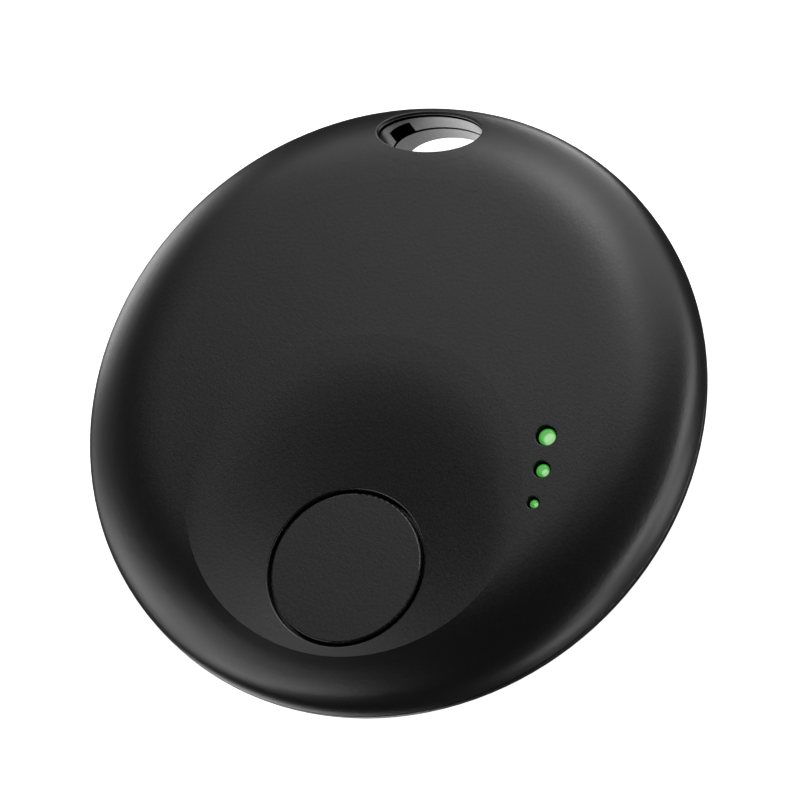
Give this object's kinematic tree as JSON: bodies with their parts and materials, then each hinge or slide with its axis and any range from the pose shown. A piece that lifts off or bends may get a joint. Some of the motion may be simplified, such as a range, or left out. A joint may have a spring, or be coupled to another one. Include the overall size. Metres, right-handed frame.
{
  "type": "bluetooth tracker tag",
  "caption": "Round pocket tracker tag: domed front shell with a dished press button, small indicator lights, a key-ring hole in the rim and a twist-off battery door in the flat back.",
  "frame": {"origin": "centre of the flat back face, on the disc's axis", "axes": "+Z out of the button side, +Y towards the key-ring hole, +X towards the indicator lights"},
  "size_m": [0.04, 0.04, 0.0067],
  "materials": {
    "soft_touch_shell": "soft-touch matte",
    "soft_touch_button": "soft-touch matte",
    "back_plastic": "fine matte",
    "door_plastic": "fine matte",
    "clear_guide": "clear, lit green",
    "led_white": "glossy",
    "sealing_bead": "satin",
    "silicone_seal": "satin",
    "silicone_gasket": "satin",
    "mesh_black": "woven",
    "frame_plastic": "matte",
    "screw_steel": "zinc plated",
    "board_green": "solder mask",
    "chip_black": "moulded epoxy",
    "shield_tin": "satin",
    "crystal_can": "satin",
    "inductor_ferrite": "sintered",
    "antenna_ceramic": "glazed",
    "passive_ceramic": "fired",
    "dome_steel": "polished",
    "contact_bronze": "gold plated",
    "cell_steel": "satin",
    "cell_cap_steel": "satin",
    "cell_nylon": "satin",
    "buzzer_brass": "satin",
    "buzzer_silver": "silvered",
    "glue_white": "satin"
  },
  "bodies": {
    "housing": {"front_shell": "soft_touch_shell", "back_shell": "back_plastic", "light_guide": "clear_guide", "status_leds": "led_white", "housing_seal": "sealing_bead", "button_gasket": "silicone_gasket", "vent_mesh": "mesh_black", "inner_frame": "frame_plastic", "frame_screws": "screw_steel", "circuit_board": "board_green", "radio_chip": "chip_black", "radio_shield": "shield_tin", "flash_memory": "chip_black", "motion_sensor": "chip_black", "power_chip": "chip_black", "crystal": "crystal_can", "inductor": "inductor_ferrite", "chip_antenna": "antenna_ceramic", "passives": "passive_ceramic", "switch_dome": "dome_steel", "contact_positive": "contact_bronze", "contact_negative": "contact_bronze", "cell_can": "cell_steel", "cell_cap": "cell_cap_steel", "cell_gasket": "cell_nylon", "buzzer_plate": "buzzer_brass", "buzzer_ceramic": "buzzer_silver", "buzzer_glue": "glue_white", "buzzer_springs": "contact_bronze"},
    "button": {"button_cap": "soft_touch_button"},
    "door": {"battery_door": "door_plastic", "door_seal": "silicone_seal"}
  },
  "joints": [
    {"name": "button_press", "type": "slide", "parent": "housing", "child": "button", "axis": [0, 0, -1], "range_m": [0, 0.00018], "stiffness_N_per_m": 4000, "deforming": ["switch_dome", "button_gasket"]},
    {"name": "battery_door_turn", "type": "hinge", "parent": "housing", "child": "door", "pos_m": [0, 0.002, 0], "axis": [0, 0, -1], "range_deg": [0, 40]}
  ]
}
